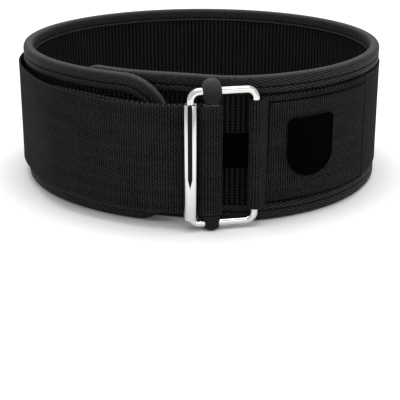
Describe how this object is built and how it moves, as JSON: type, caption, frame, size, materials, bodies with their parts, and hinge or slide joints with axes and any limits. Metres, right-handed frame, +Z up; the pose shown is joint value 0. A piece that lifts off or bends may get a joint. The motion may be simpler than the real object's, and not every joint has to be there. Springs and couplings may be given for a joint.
{
  "type": "weightlifting belt",
  "caption": "Padded ribbed band rolled into a loop with bound edges, a webbing strap round it, and a wire buckle with a roller and slide bar at the front.",
  "frame": {"origin": "middle of the belt's box, on the surface that it stands on", "axes": "+Z up, the belt stands on its lower edge; -Y is the front with the buckle, +Y the back with the patch, +X to the right seen from the front"},
  "size_m": [0.276, 0.286, 0.1043],
  "materials": {
    "ribbed_fabric": "matt black woven fabric with fine upright ribs",
    "binding_tape": "black twill tape with a soft sheen",
    "webbing": "black nylon webbing, finely woven",
    "chrome_wire": "polished chrome",
    "steel_bar": "plain steel bar, hidden in the strap's turn",
    "cap_rubber": "matt dark slate rubber",
    "plain_patch": "plain flat black sewn patch"
  },
  "bodies": {
    "belt": {"padded_body": "ribbed_fabric", "edge_binding_top": "binding_tape", "edge_binding_bottom": "binding_tape", "strap": "webbing", "buckle_loop": "webbing", "buckle_frame": "chrome_wire", "slide_bar": "steel_bar", "cap_top": "cap_rubber", "cap_bottom": "cap_rubber", "back_patch": "plain_patch", "front_badge": "plain_patch", "window_label": "plain_patch"},
    "roller": {"roller": "chrome_wire"}
  },
  "joints": [
    {"name": "roller_spin", "type": "hinge", "parent": "belt", "child": "roller", "pos_m": [-0.00529, -0.13831, 0.048], "axis": [0, 0, 1], "continuous": true}
  ]
}
